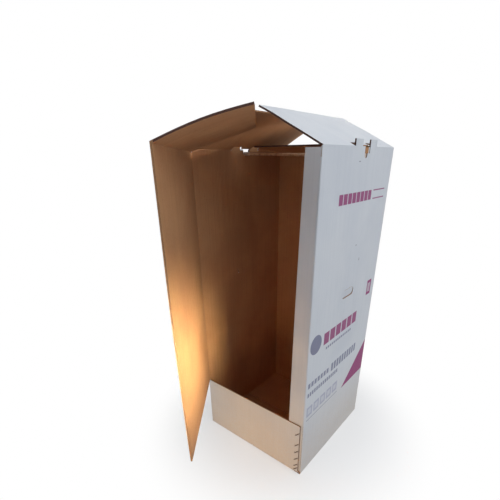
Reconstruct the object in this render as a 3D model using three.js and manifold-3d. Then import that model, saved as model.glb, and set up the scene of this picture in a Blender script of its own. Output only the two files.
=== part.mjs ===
// Wardrobe moving box: a tall corrugated carton with a swing-out front door, a gabled top and a hanging rail.
// Millimetres, +Z up, +Y towards the back. The origin is on the floor at the middle of the carton's base.
import * as THREE from 'three';
import { mergeVertices } from 'three/addons/utils/BufferGeometryUtils.js';
import Module from 'manifold-3d';

const wasm = await Module();
wasm.setup();

// Carton and board
const cartonWidth = 520;
const cartonDepth = 530;
const cartonHeight = 1220;
const board = 5;
const foldRadius = 3.5;
const seatGap = 0.3;
const cornerReach = 20;
const overcut = 1;
const cornerSteps = 4;
const roundSteps = 24;

// Front: low fixed panel, joint strip and door
const lowPanelHeight = 252;
const lowPanelStop = 12;
const stripWidth = 54;
const stripWidthLow = 68;
const doorWidth = 486;
const doorAngle = 50.8;
const doorCutGap = 1.5;

// Top flaps
const topFlapLength = 240;
const innerFlapDrop = 8;
const flapSideInset = 1.5;
const leftFlapAngle = 28.8;
const rightFlapAngle = 25.5;
const doorFlapAngle = 17.4;
const doorFlapChamfer = 26;
const backFlapAngle = 4.4;
const backFlapTaper = 42;

// Bottom flaps and tape
const outerSeamGap = 4;
const innerSeamGap = 14;
const outerFlapInset = 1;
const innerFlapInset = 0.5;
const tapeThickness = 0.3;
const tapeWidth = 48;
const tapeInset = 8;

// Rail slots in the side walls, their locking tabs and the standing tabs beside them
const slotOffset = 20;
const slotWidth = 20;
const slotDepthLeft = 24;
const slotDepthRight = 34;
const lockWidth = 19;
const lockDepth = 20;
const lockTabGap = 1;
const lockAngle = 34;
const standingTabWidth = 52;
const standingTabRise = 20;
const standingTabRoot = 10;
const standingTabSpacing = 29;
const windowClearance = 2;
const creaseNotch = 9;

// Hand holes, cut on three sides and pushed in a little
const handHoleWidth = 88;
const handHoleHeight = 32;
const handHoleRadius = 13;
const handHoleDrop = 472;
const handHoleKerf = 1.2;
const handHolePush = 6;

// Wire stitches at the joint
const stitchHeights = [207, 151, 113, 75, 40, 20];
const stitchInset = 23;
const stitchLength = 17;
const stitchWire = 0.9;
const stitchFlat = 2.2;
const stitchSlant = 20;
const stitchClinch = 5;
const stitchHoleGap = 0.35;

// Rail and its end caps
const railRadius = 5.2;
const railWall = 1;
const capRadius = 7;
const capReach = 22;
const capEndWall = 1.5;
const capRecess = 1;
const capChamfer = 1;
const railFitGap = 0.3;

const degrees = Math.PI / 180;
const left = -cartonWidth / 2;
const right = cartonWidth / 2;
const front = -cartonDepth / 2;
const back = cartonDepth / 2;
const outerFlapBottom = tapeThickness + seatGap;
const innerFlapBottom = outerFlapBottom + board;
const floorTop = innerFlapBottom + board;
const stripFront = front + board + seatGap;
const innerCrease = cartonHeight - innerFlapDrop;
const outerFlapLength = (cartonWidth - outerSeamGap) / 2;
const innerFlapLength = (cartonDepth - innerSeamGap) / 2;

// Shape and solid helpers

function toSolid(geometry) {
  const bare = geometry.clone();
  bare.deleteAttribute('normal');
  bare.deleteAttribute('uv');
  const merged = mergeVertices(bare, 1e-4);
  const mesh = new wasm.Mesh({
    numProp: 3,
    vertProperties: new Float32Array(merged.attributes.position.array),
    triVerts: new Uint32Array(merged.index.array),
  });
  mesh.merge();
  return new wasm.Manifold(mesh);
}

function toGeometry(solid) {
  const mesh = solid.getMesh();
  const geometry = new THREE.BufferGeometry();
  geometry.setAttribute('position', new THREE.BufferAttribute(new Float32Array(mesh.vertProperties), 3));
  geometry.setIndex(new THREE.BufferAttribute(new Uint32Array(mesh.triVerts), 1));
  geometry.computeVertexNormals();
  return geometry;
}

function join(pieces) {
  return pieces.map(toSolid).reduce((all, piece) => all.add(piece));
}

function block(x0, x1, y0, y1, z0, z1) {
  const geometry = new THREE.BoxGeometry(x1 - x0, y1 - y0, z1 - z0);
  return geometry.translate((x0 + x1) / 2, (y0 + y1) / 2, (z0 + z1) / 2);
}

function outline(points) {
  return new THREE.Shape(points.map(([a, b]) => new THREE.Vector2(a, b)));
}

function extrude(shape, depth) {
  return new THREE.ExtrudeGeometry(shape, { depth, bevelEnabled: false, curveSegments: 8 });
}

// A plan outline in X and Y, raised from z0 to z1.
function raise(shape, z0, z1) {
  return extrude(shape, z1 - z0).translate(0, 0, z0);
}

// A side outline in Y and Z, drawn along X from x0 to x1.
function drawAcross(shape, x0, x1) {
  const turn = new THREE.Matrix4().makeBasis(
    new THREE.Vector3(0, 1, 0),
    new THREE.Vector3(0, 0, 1),
    new THREE.Vector3(1, 0, 0),
  );
  return extrude(shape, x1 - x0).applyMatrix4(turn).translate(x0, 0, 0);
}

// A front outline in X and Z, drawn along Y from y0 to y1.
function drawBack(shape, y0, y1) {
  return extrude(shape, y1 - y0).rotateX(Math.PI / 2).translate(0, y1, 0);
}

// Points on a folded corner's arc, from startAngle to endAngle.
function cornerArc(x, y, radius, startAngle, endAngle) {
  return Array.from({ length: cornerSteps + 1 }, (_, i) => {
    const angle = (startAngle + ((endAngle - startAngle) * i) / cornerSteps) * degrees;
    return [x + radius * Math.cos(angle), y + radius * Math.sin(angle)];
  });
}

// Carton sheet: walls

// Strip, right wall, back wall and left wall as one folded line in plan.
function wallPlan() {
  const stripEdge = right - stripWidthLow;
  return outline([
    [stripEdge, stripFront],
    ...cornerArc(right - foldRadius, stripFront + foldRadius, foldRadius, -90, 0),
    ...cornerArc(right - foldRadius, back - foldRadius, foldRadius, 0, 90),
    ...cornerArc(left + foldRadius, back - foldRadius, foldRadius, 90, 180),
    [left, front],
    [left + board, front + board],
    [left + board, back - board],
    [right - board, back - board],
    [right - board, stripFront + board],
    [stripEdge, stripFront + board],
  ]);
}

// The low panel folds off the left wall with a rounded corner, so it takes a piece of that wall with it.
function lowPanelPlan() {
  return outline([
    [left, front + cornerReach],
    ...cornerArc(left + foldRadius, front + foldRadius, foldRadius, 180, 270),
    [right - lowPanelStop, front],
    [right - lowPanelStop, front + board],
    [left + board, front + board],
    [left + board, front + cornerReach],
  ]);
}

// The joint strip's free edge leans: it is wider at the low panel than at the top.
function stripTaper() {
  const lean = outline([
    [right - stripWidthLow - overcut, lowPanelHeight],
    [right - stripWidthLow, lowPanelHeight],
    [right - stripWidth, cartonHeight],
    [right - stripWidth, cartonHeight + overcut],
    [right - stripWidthLow - overcut, cartonHeight + overcut],
  ]);
  return drawBack(lean, stripFront - overcut, stripFront + board + overcut);
}

function walls() {
  const frontCorner = block(
    left - overcut, left + cornerReach, front - overcut, front + cornerReach, 0, lowPanelHeight,
  );
  const stripTop = block(
    right - stripWidthLow - overcut, right - board, stripFront - overcut, stripFront + board + overcut,
    cartonHeight - board - overcut, cartonHeight + overcut,
  );
  const backTop = block(
    left + board, right - board, back - board - overcut, back + overcut, innerCrease, cartonHeight + overcut,
  );
  return toSolid(raise(wallPlan(), innerFlapBottom, cartonHeight))
    .subtract(toSolid(frontCorner))
    .subtract(toSolid(stripTaper()))
    .subtract(toSolid(stripTop))
    .subtract(toSolid(backTop))
    .add(toSolid(raise(lowPanelPlan(), innerFlapBottom, lowPanelHeight)));
}

// Outer bottom flaps fold from the side walls, inner ones from the low panel and the back wall.
function bottomFlaps() {
  const side = board + innerFlapInset;
  const end = outerFlapInset;
  const outerFlap = (x0, x1) => block(x0, x1, front + end, back - end, outerFlapBottom, innerFlapBottom);
  const innerFlap = (y0, y1) => block(left + side, right - side, y0, y1, innerFlapBottom, floorTop);
  return join([
    outerFlap(left, left + outerFlapLength),
    outerFlap(right - outerFlapLength, right),
    innerFlap(front, front + innerFlapLength),
    innerFlap(back - innerFlapLength, back),
  ]);
}

// The back top flap narrows towards its free edge, so that the side flaps can lie above it.
function backTopFlap() {
  const half = cartonWidth / 2 - board - flapSideInset;
  const slab = raise(
    outline([[-half, 0], [backFlapTaper - half, -topFlapLength], [half - backFlapTaper, -topFlapLength], [half, 0]]),
    -board, 0,
  );
  return toSolid(slab.rotateX(-backFlapAngle * degrees).translate(0, back, innerCrease));
}

// Carton sheet: cuts in the side walls. side is 1 on the right and -1 on the left.

function wallFace(side) {
  return side > 0 ? [right - board, right] : [left, left + board];
}

function slotDepth(side) {
  return side > 0 ? slotDepthRight : slotDepthLeft;
}

function slotCut(side) {
  const radius = slotWidth / 2;
  const bottom = cartonHeight - slotDepth(side) + radius;
  const top = cartonHeight + standingTabRise + overcut;
  const shape = new THREE.Shape();
  shape.moveTo(slotOffset + radius, top);
  shape.lineTo(slotOffset - radius, top);
  shape.lineTo(slotOffset - radius, bottom);
  shape.absarc(slotOffset, bottom, radius, Math.PI, 2 * Math.PI, false);
  const [x0, x1] = wallFace(side);
  return toSolid(drawAcross(shape, x0 - overcut, x1 + overcut));
}

function lockCut(side) {
  const [x0, x1] = wallFace(side);
  const start = slotOffset + slotWidth / 2;
  const bottom = cartonHeight - lockDepth;
  return toSolid(block(
    x0 - overcut, x1 + overcut, start, start + lockWidth, bottom, cartonHeight + overcut,
  ));
}

// The locking tab swings in behind its cut, about the cut's far edge, over the end of the rail.
function lockTab(side) {
  const hinge = slotOffset + slotWidth / 2 + lockWidth;
  const [x0, x1] = wallFace(side);
  const inner = side > 0 ? x0 : x1;
  const [t0, t1] = side > 0 ? [0, board] : [-board, 0];
  const tab = block(t0, t1, lockTabGap - lockWidth, 0, lockTabGap, lockDepth - lockTabGap);
  tab.rotateZ(-side * lockAngle * degrees);
  tab.translate(inner, hinge, cartonHeight - lockDepth - lockTabGap);
  const root = block(
    inner + t0, inner + t1, hinge - overcut, hinge + 2 * overcut,
    cartonHeight - lockDepth, cartonHeight - 2 * lockTabGap,
  );
  return toSolid(tab).add(toSolid(root));
}

// The crease opens as a mitre along the top of the wall, so the flap can close over it.
function creaseCut(side) {
  const outer = side > 0 ? right : left;
  const inner = outer - side * board;
  return toSolid(drawBack(outline([
    [outer, cartonHeight],
    [outer, cartonHeight + overcut],
    [inner - side * overcut, cartonHeight + overcut],
    [inner - side * overcut, cartonHeight - board - overcut],
  ]), front - overcut, back + overcut));
}

function standingTabSpans() {
  return [
    [slotOffset - standingTabSpacing - standingTabWidth, slotOffset - standingTabSpacing],
    [slotOffset + standingTabSpacing, slotOffset + standingTabSpacing + standingTabWidth],
  ];
}

function standingTabs(side) {
  const [x0, x1] = wallFace(side);
  return join(standingTabSpans().map(([y0, y1]) => block(
    x0, x1, y0, y1, cartonHeight - standingTabRoot, cartonHeight + standingTabRise,
  )));
}

function roundedRectangle(halfWidth, bottom, top, radius) {
  const shape = new THREE.Shape();
  shape.moveTo(halfWidth, bottom + radius);
  shape.lineTo(halfWidth, top - radius);
  shape.absarc(halfWidth - radius, top - radius, radius, 0, Math.PI / 2, false);
  shape.lineTo(radius - halfWidth, top);
  shape.absarc(radius - halfWidth, top - radius, radius, Math.PI / 2, Math.PI, false);
  shape.lineTo(-halfWidth, bottom + radius);
  shape.absarc(radius - halfWidth, bottom + radius, radius, Math.PI, 1.5 * Math.PI, false);
  shape.lineTo(halfWidth - radius, bottom);
  shape.absarc(halfWidth - radius, bottom + radius, radius, 1.5 * Math.PI, 2 * Math.PI, false);
  return shape;
}

function handHoleCut(side) {
  const top = cartonHeight - handHoleDrop;
  const [x0, x1] = wallFace(side);
  const shape = roundedRectangle(handHoleWidth / 2, top - handHoleHeight, top, handHoleRadius);
  return toSolid(drawAcross(shape, x0 - overcut, x1 + overcut));
}

// The flap of the hand hole hangs from its top edge, pushed in at the bottom.
function handHoleTab(side) {
  const halfWidth = handHoleWidth / 2 - handHoleKerf;
  const radius = handHoleRadius - handHoleKerf;
  const hingeHalf = handHoleWidth / 2 - handHoleRadius;
  const thickness = side > 0 ? [-board, 0] : [0, board];
  const plate = drawAcross(roundedRectangle(halfWidth, handHoleKerf - handHoleHeight, 0, radius), ...thickness);
  const hinge = block(...thickness, -hingeHalf, hingeHalf, -2 * overcut, overcut);
  const place = (geometry) => geometry
    .rotateY(side * handHolePush * degrees)
    .translate(side * right, 0, cartonHeight - handHoleDrop);
  return toSolid(place(plate)).add(toSolid(place(hinge)));
}

// Wire stitches

function stitchPlace(geometry, height) {
  return geometry.rotateY(-stitchSlant * degrees).translate(right - stitchInset, 0, height);
}

function stitchGeometry(height) {
  const half = stitchLength / 2;
  const crown = front - seatGap;
  const clinch = stripFront + board + seatGap;
  const profile = [
    [-half, crown - stitchWire],
    [half, crown - stitchWire],
    [half, clinch + stitchWire],
    [half - stitchClinch, clinch + stitchWire],
    [half - stitchClinch, clinch],
    [half - stitchWire, clinch],
    [half - stitchWire, crown],
    [stitchWire - half, crown],
    [stitchWire - half, clinch],
    [stitchClinch - half, clinch],
    [stitchClinch - half, clinch + stitchWire],
    [-half, clinch + stitchWire],
  ];
  return stitchPlace(raise(outline(profile), -stitchFlat / 2, stitchFlat / 2), height);
}

function stitchHoles() {
  const half = stitchLength / 2;
  const leg = (x0, x1, height) => stitchPlace(block(
    x0 - stitchHoleGap, x1 + stitchHoleGap, front - overcut, stripFront + board + overcut,
    -stitchFlat / 2 - stitchHoleGap, stitchFlat / 2 + stitchHoleGap,
  ), height);
  return join(stitchHeights.flatMap((height) => [
    leg(-half, stitchWire - half, height),
    leg(half - stitchWire, half, height),
  ]));
}

function cartonBody() {
  let sheet = walls().add(bottomFlaps()).add(backTopFlap());
  for (const side of [1, -1]) {
    sheet = sheet
      .subtract(creaseCut(side))
      .add(standingTabs(side))
      .subtract(slotCut(side))
      .subtract(lockCut(side))
      .add(lockTab(side))
      .subtract(handHoleCut(side))
      .add(handHoleTab(side));
  }
  return toGeometry(sheet.subtract(stitchHoles()));
}

// Door: hinged on the front left corner, built closed about its hinge line.

function doorGeometry() {
  const bottom = lowPanelHeight + doorCutGap;
  const panel = raise(outline([
    [seatGap, 0],
    [doorWidth, 0],
    [doorWidth, board],
    [board + seatGap, board],
  ]), bottom, innerCrease);
  const inset = board + flapSideInset;
  const flap = raise(outline([
    [inset, 0],
    [doorWidth, 0],
    [doorWidth, topFlapLength],
    [inset + doorFlapChamfer, topFlapLength],
    [inset, topFlapLength - doorFlapChamfer],
  ]), -board, 0);
  flap.rotateX(doorFlapAngle * degrees).translate(0, 0, innerCrease);
  return toGeometry(toSolid(panel).add(toSolid(flap)));
}

// Side top flaps: built closed about their hinge line, with the notches that the standing tabs were cut from.

function sideFlapOutline(side, y0, y1) {
  const [[nearStart, nearEnd], [farStart, farEnd]] = standingTabSpans();
  const deep = standingTabRise + windowClearance;
  const points = [
    [seatGap, y0],
    [topFlapLength, y0],
    [topFlapLength, y1],
    [seatGap, y1],
    [seatGap, farEnd + windowClearance],
    [deep, farEnd + windowClearance],
    [deep, farStart - windowClearance],
    [creaseNotch, farStart - windowClearance],
    [creaseNotch, nearEnd + windowClearance],
    [deep, nearEnd + windowClearance],
    [deep, nearStart - windowClearance],
    [seatGap, nearStart - windowClearance],
  ];
  return outline(points.map(([reach, y]) => [-side * reach, y]));
}

function sideFlapGeometry(side, y0, y1) {
  const slab = raise(sideFlapOutline(side, y0, y1), -board, 0);
  const mitre = drawBack(outline([
    [-side * seatGap, 0],
    [-side * (seatGap + board + overcut), -board - overcut],
    [side * overcut, -board - overcut],
    [side * overcut, 0],
  ]), y0 - overcut, y1 + overcut);
  return toGeometry(toSolid(slab).subtract(toSolid(mitre)));
}

// Rail: a tube that lies in the two slots, tilted because the left slot is shallower.

function revolve(points) {
  const profile = points.map(([radius, along]) => new THREE.Vector2(radius, along));
  return new THREE.LatheGeometry(profile, roundSteps).rotateZ(-Math.PI / 2);
}

function railGeometry() {
  const half = right - capRecess - capEndWall - seatGap;
  const inner = railRadius - railWall;
  return revolve([[inner, -half], [railRadius, -half], [railRadius, half], [inner, half], [inner, -half]]);
}

function capGeometry(side) {
  const open = right - board - capReach;
  const end = right - capRecess;
  const bore = railRadius + railFitGap;
  const cup = revolve([
    [0, end - capEndWall],
    [bore, end - capEndWall],
    [bore, open],
    [capRadius - capChamfer, open],
    [capRadius, open + capChamfer],
    [capRadius, end - capChamfer],
    [capRadius - capChamfer, end],
    [0, end],
  ]);
  return side > 0 ? cup : cup.rotateZ(Math.PI);
}

// Materials

const whiteLiner = new THREE.MeshStandardMaterial({ color: 0xdedfe2, roughness: 0.62 });
const kraftBoard = new THREE.MeshStandardMaterial({ color: 0xb98552, roughness: 0.85 });
const railMetal = new THREE.MeshStandardMaterial({ color: 0xc9b9a6, roughness: 0.38, metalness: 0.9 });
const capPlastic = new THREE.MeshStandardMaterial({ color: 0xd9cdbf, roughness: 0.5 });
const stitchMetal = new THREE.MeshStandardMaterial({ color: 0x8a4f2c, roughness: 0.35, metalness: 1 });
const tapeFilm = new THREE.MeshStandardMaterial({ color: 0xb08a54, roughness: 0.3 });

function piece(name, geometry, material) {
  const mesh = new THREE.Mesh(geometry, material);
  mesh.name = name;
  return mesh;
}

const wardrobeBox = new THREE.Group();

wardrobeBox.add(piece('carton_body', cartonBody(), whiteLiner));

const door = new THREE.Group();
door.position.set(left, front, 0);
door.rotation.z = -doorAngle * degrees;
door.add(piece('door_panel', doorGeometry(), kraftBoard));
wardrobeBox.add(door);

const rightFlap = new THREE.Group();
rightFlap.position.set(right, 0, cartonHeight);
rightFlap.rotation.y = rightFlapAngle * degrees;
const rightFlapFront = stripFront + flapSideInset;
rightFlap.add(piece('right_top_flap', sideFlapGeometry(1, rightFlapFront, back - flapSideInset), whiteLiner));
wardrobeBox.add(rightFlap);

const leftFlap = new THREE.Group();
leftFlap.position.set(left, 0, cartonHeight);
leftFlap.rotation.y = -leftFlapAngle * degrees;
const leftFlapFront = front + flapSideInset;
leftFlap.add(piece('left_top_flap', sideFlapGeometry(-1, leftFlapFront, back - flapSideInset), whiteLiner));
wardrobeBox.add(leftFlap);

const rail = new THREE.Group();
const railEndLeft = cartonHeight - slotDepthLeft + capRadius + seatGap;
const railEndRight = cartonHeight - slotDepthRight + capRadius + seatGap;
rail.position.set(0, slotOffset, (railEndLeft + railEndRight) / 2);
rail.rotation.y = Math.atan((railEndLeft - railEndRight) / (cartonWidth - board));
rail.add(piece('hanging_rail', railGeometry(), railMetal));
rail.add(piece('rail_end_cap_left', capGeometry(-1), capPlastic));
rail.add(piece('rail_end_cap_right', capGeometry(1), capPlastic));
wardrobeBox.add(rail);

stitchHeights.forEach((height, i) => {
  wardrobeBox.add(piece(`stitch_${i + 1}`, stitchGeometry(height), stitchMetal));
});

const tape = block(-tapeWidth / 2, tapeWidth / 2, front + tapeInset, back - tapeInset, 0, tapeThickness);
wardrobeBox.add(piece('bottom_tape', tape, tapeFilm));

export default wardrobeBox;
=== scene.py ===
import math
import bmesh
import bpy
from mathutils import Matrix, Vector
from mathutils.bvhtree import BVHTree


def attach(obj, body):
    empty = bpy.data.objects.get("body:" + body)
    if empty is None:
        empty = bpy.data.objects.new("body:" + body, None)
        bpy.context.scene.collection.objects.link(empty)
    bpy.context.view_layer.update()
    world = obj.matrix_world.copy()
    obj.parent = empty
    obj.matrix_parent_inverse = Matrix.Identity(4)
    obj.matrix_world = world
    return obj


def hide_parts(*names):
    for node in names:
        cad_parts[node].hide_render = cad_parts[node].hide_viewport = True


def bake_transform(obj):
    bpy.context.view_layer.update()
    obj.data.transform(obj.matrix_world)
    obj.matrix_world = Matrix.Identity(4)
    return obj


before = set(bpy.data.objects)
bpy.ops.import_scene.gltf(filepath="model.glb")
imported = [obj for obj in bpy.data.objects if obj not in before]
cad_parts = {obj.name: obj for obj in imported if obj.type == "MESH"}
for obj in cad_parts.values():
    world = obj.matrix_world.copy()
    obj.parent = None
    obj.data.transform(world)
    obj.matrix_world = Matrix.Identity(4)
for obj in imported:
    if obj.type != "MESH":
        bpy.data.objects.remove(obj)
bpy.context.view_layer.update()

# Wardrobe moving box: the finish of the board, its cut edges and creases, the print, the rail and the wire.
# Metres, in the frame's own axes: the door faces -Y, the rail lies along X.
print("frame loaded,", len(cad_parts), "nodes")

board = {
    "thickness": 0.005,
    "liner": 0.0004,  # the paper on each side of the flutes
    "recess": 0.0009,  # how far the flutes sit back from a cut edge
    "flutePitch": 0.0078,
    "gridSpacing": 0.026,
    "edgeBand": 0.003,  # one narrow row of faces along each edge, for wear
}
carton = {
    "width": 0.52,
    "depth": 0.53,
    "height": 1.22,
    "lowPanelTop": 0.252,
    "lowPanelEnd": 0.248,
    "stripWidth": 0.054,  # the joint strip, at its top
    "stripTop": 1.214,
    "bulge": 0.0024,  # walls bow out a little between their folds
    "ripple": 0.0005,
    "stripBow": 0.003,
    "corner": 0.0036,  # how far round a folded corner the paper is worn
    "slotSpan": (-0.065, 0.105),  # along the side walls, the rail slots and the tabs beside them, where the cut edges take painted shade
    "lockingTab": ((0.0285, 0.052), (1.198, 1.2195)),  # its span along the wall, and up
}
stitch = {
    "heights": [0.207, 0.151, 0.113, 0.075, 0.040, 0.020],
    "fromCorner": 0.023,
    "length": 0.017,
    "wire": 0.0009,
    "flat": 0.0026,
    "slant": 48,
    "depth": 0.0112,  # through the low panel and the strip
    "clinch": 0.0041,
    "rounding": 0.0003,
    "leans": (2.5, -3, 1, -1.5, 3, -2),  # degrees more or less, as they are driven by hand
    "dentShade": (0.0115, 0.0036),  # half the length and half the height of the painted shade round each stitch
}
left = -carton["width"] / 2
right = carton["width"] / 2
front = -carton["depth"] / 2
back = carton["depth"] / 2
middle = Vector((0, 0, carton["height"] / 2))
alongX, alongY, alongZ = Vector((1, 0, 0)), Vector((0, 1, 0)), Vector((0, 0, 1))


# Camera, at the place that fits the box's corners in the photograph
cameraView = {
    "place": (0.7625, -1.1444, 1.1891),
    "turn": 39.08,  # degrees to the left of straight ahead
    "pitch": -26.26,
    "roll": -0.26,
    "lens": 24.49,
    "shift": (-0.0192, 0.1509),
}


def placeCamera():
    data = bpy.data.cameras.new("photoCamera")
    data.lens = cameraView["lens"]
    data.sensor_width = 36
    data.sensor_fit = "HORIZONTAL"
    data.shift_x, data.shift_y = cameraView["shift"]
    data.clip_start = 0.02
    camera = bpy.data.objects.new("photoCamera", data)
    bpy.context.scene.collection.objects.link(camera)
    turn = Matrix.Rotation(math.radians(cameraView["turn"]), 4, "Z")
    tilt = Matrix.Rotation(math.radians(90 + cameraView["pitch"]), 4, "X")
    roll = Matrix.Rotation(math.radians(cameraView["roll"]), 4, "Z")
    camera.matrix_world = Matrix.Translation(cameraView["place"]) @ turn @ tilt @ roll
    bpy.context.scene.camera = camera


placeCamera()
print("camera placed")


# Node helpers
def newMaterial(name):
    material = bpy.data.materials.new(name)
    material.use_nodes = True
    return material, material.node_tree, material.node_tree.nodes["Principled BSDF"]


def feed(tree, socket, value):
    if isinstance(value, bpy.types.NodeSocket):
        tree.links.new(value, socket)
    else:
        socket.default_value = value


def calc(tree, operation, *values):
    node = tree.nodes.new("ShaderNodeMath")
    node.operation = operation
    for socket, value in zip(node.inputs, values):
        feed(tree, socket, value)
    return node.outputs[0]


def blendColour(tree, amount, first, second, mode="MIX"):
    node = tree.nodes.new("ShaderNodeMix")
    node.data_type = "RGBA"
    node.blend_type = mode
    feed(tree, node.inputs["Factor"], amount)
    feed(tree, node.inputs[6], first)  # A and B of the colour kind
    feed(tree, node.inputs[7], second)
    return node.outputs[2]


def spread(tree, value, low, high, outLow=0.0, outHigh=1.0):
    node = tree.nodes.new("ShaderNodeMapRange")
    node.interpolation_type = "SMOOTHSTEP"
    for socket, number in zip(node.inputs, (value, low, high, outLow, outHigh)):
        feed(tree, socket, number)
    return node.outputs[0]


def speckle(tree, vector, scale, detail=3.0, roughness=0.55):
    node = tree.nodes.new("ShaderNodeTexNoise")
    feed(tree, node.inputs["Vector"], vector)
    node.inputs["Scale"].default_value = scale
    node.inputs["Detail"].default_value = detail
    node.inputs["Roughness"].default_value = roughness
    return node.outputs["Fac"]


def stretch(tree, vector, scale):
    node = tree.nodes.new("ShaderNodeVectorMath")
    node.operation = "MULTIPLY"
    feed(tree, node.inputs[0], vector)
    node.inputs[1].default_value = scale
    return node.outputs[0]


def parts(tree, vector):
    node = tree.nodes.new("ShaderNodeSeparateXYZ")
    feed(tree, node.inputs[0], vector)
    return node.outputs


def objectPlace(tree):
    return tree.nodes.new("ShaderNodeTexCoord").outputs["Object"]


def bump(tree, height, strength, distance):
    node = tree.nodes.new("ShaderNodeBump")
    node.inputs["Strength"].default_value = strength
    node.inputs["Distance"].default_value = distance
    feed(tree, node.inputs["Height"], height)
    return node.outputs[0]


def newGroup(name, inputs, outputs):
    group = bpy.data.node_groups.new(name, "ShaderNodeTree")
    for socketName, kind in inputs:
        group.interface.new_socket(name=socketName, in_out="INPUT", socket_type=kind)
    for socketName in outputs:
        group.interface.new_socket(name=socketName, in_out="OUTPUT", socket_type="NodeSocketFloat")
    entry = group.nodes.new("NodeGroupInput")
    result = group.nodes.new("NodeGroupOutput")
    return group, entry.outputs, result.inputs


def useGroup(tree, group, **values):
    node = tree.nodes.new("ShaderNodeGroup")
    node.node_tree = group
    for name, value in values.items():
        feed(tree, node.inputs[name], value)
    return node.outputs


def colour(red, green, blue):
    def linear(value):
        value /= 255
        return value / 12.92 if value <= 0.04045 else ((value + 0.055) / 1.055) ** 2.4
    return (linear(red), linear(green), linear(blue), 1.0)


# Effects that several finishes share
number = "NodeSocketFloat"
vector = "NodeSocketVector"


def makeFluteShow():
    # The flutes telegraph through the liner as faint ribs; Sheet is across and along the flutes in metres.
    group, given, result = newGroup("fluteShow", [("Sheet", vector), ("Pitch", number)], ["Rib", "Streak"])
    across = parts(group, given["Sheet"])[0]
    wander = speckle(group, stretch(group, given["Sheet"], (6, 2, 1)), 3.0)
    phase = calc(group, "ADD", calc(group, "DIVIDE", across, given["Pitch"]), calc(group, "MULTIPLY", wander, 1.4))
    wave = calc(group, "SINE", calc(group, "MULTIPLY", phase, 2 * math.pi))
    patchy = speckle(group, stretch(group, given["Sheet"], (9, 3, 1)), 2.0)
    feed(group, result["Rib"], calc(group, "MULTIPLY", wave, spread(group, patchy, 0.35, 0.65)))
    feed(group, result["Streak"], speckle(group, stretch(group, given["Sheet"], (150, 2.2, 1)), 1.0, 4.0, 0.6))
    return group


def makePaperGrain():
    group, given, result = newGroup("paperGrain", [("Vector", vector)], ["Fibre", "Mottle", "Cloud"])
    fine = speckle(group, given["Vector"], 1500, 2.0, 0.7)
    feed(group, result["Fibre"], fine)
    feed(group, result["Mottle"], speckle(group, given["Vector"], 160, 4.0, 0.65))
    feed(group, result["Cloud"], speckle(group, given["Vector"], 5, 3.0, 0.5))
    return group


def makeRubbed():
    # Wear is 1 at cut edges and corners and 0 a few millimetres away
    group, given, result = newGroup(
        "rubbed", [("Wear", number), ("Vector", vector), ("Amount", number)], ["Mask"])
    rough = speckle(group, given["Vector"], 210, 4.0, 0.7)
    patches = speckle(group, given["Vector"], 14, 2.0, 0.5)
    reach = calc(group, "MULTIPLY", calc(group, "ADD", rough, patches), given["Amount"])
    level = calc(group, "ADD", given["Wear"], calc(group, "SUBTRACT", reach, 1.0))
    feed(group, result["Mask"], spread(group, level, 0.5, 0.7))
    return group


def makeBar():
    # One printed bar on a wall that faces sideways; Count above 1 splits it into blocks
    group, given, result = newGroup("printedBar", [
        ("Vector", vector), ("Start", number), ("End", number), ("Low", number), ("High", number),
        ("Count", number), ("Filled", number)], ["Mask"])
    place = parts(group, given["Vector"])
    soft = 0.0006
    ink = calc(group, "MULTIPLY", calc(group, "SUBTRACT", speckle(group, given["Vector"], 700), 0.5), 0.0012)
    along = calc(group, "ADD", place[1], ink)
    height = calc(group, "ADD", place[2], ink)

    def above(value, edge):
        return spread(group, calc(group, "SUBTRACT", value, edge), -soft, soft)

    inside = calc(group, "MULTIPLY", above(along, given["Start"]), above(given["End"], along))
    inside = calc(group, "MULTIPLY", inside, above(height, given["Low"]))
    inside = calc(group, "MULTIPLY", inside, above(given["High"], height))
    length = calc(group, "SUBTRACT", given["End"], given["Start"])
    share = calc(group, "DIVIDE", calc(group, "SUBTRACT", along, given["Start"]), length)
    block = calc(group, "FRACT", calc(group, "MULTIPLY", share, given["Count"]))
    kept = spread(group, calc(group, "SUBTRACT", given["Filled"], block), 0.0, 0.02)
    feed(group, result["Mask"], calc(group, "MULTIPLY", inside, kept))
    return group


def makeStitchDentShade():
    # Painted shade in the dent where the board is pressed in round each stitch
    group, given, result = newGroup("stitchDentShade", [("Vector", vector), ("Height", number)], ["Mask"])
    place = parts(group, given["Vector"])
    across = calc(group, "SUBTRACT", place[0], right - stitch["fromCorner"])
    slope = calc(group, "MULTIPLY", across, math.tan(math.radians(stitch["slant"])))
    up = calc(group, "SUBTRACT", calc(group, "SUBTRACT", place[2], given["Height"]), slope)
    halfLength, halfHeight = stitch["dentShade"]
    reach = calc(group, "ADD", calc(group, "POWER", calc(group, "DIVIDE", across, halfLength), 2.0),
                 calc(group, "POWER", calc(group, "DIVIDE", up, halfHeight), 2.0))
    onFront = spread(group, place[1], -0.2, -0.25)
    feed(group, result["Mask"], calc(group, "MULTIPLY", spread(group, reach, 1.3, 0.5), onFront))
    return group


fluteShow = makeFluteShow()
stitchDentShade = makeStitchDentShade()
paperGrain = makePaperGrain()
rubbed = makeRubbed()
printedBar = makeBar()

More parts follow.
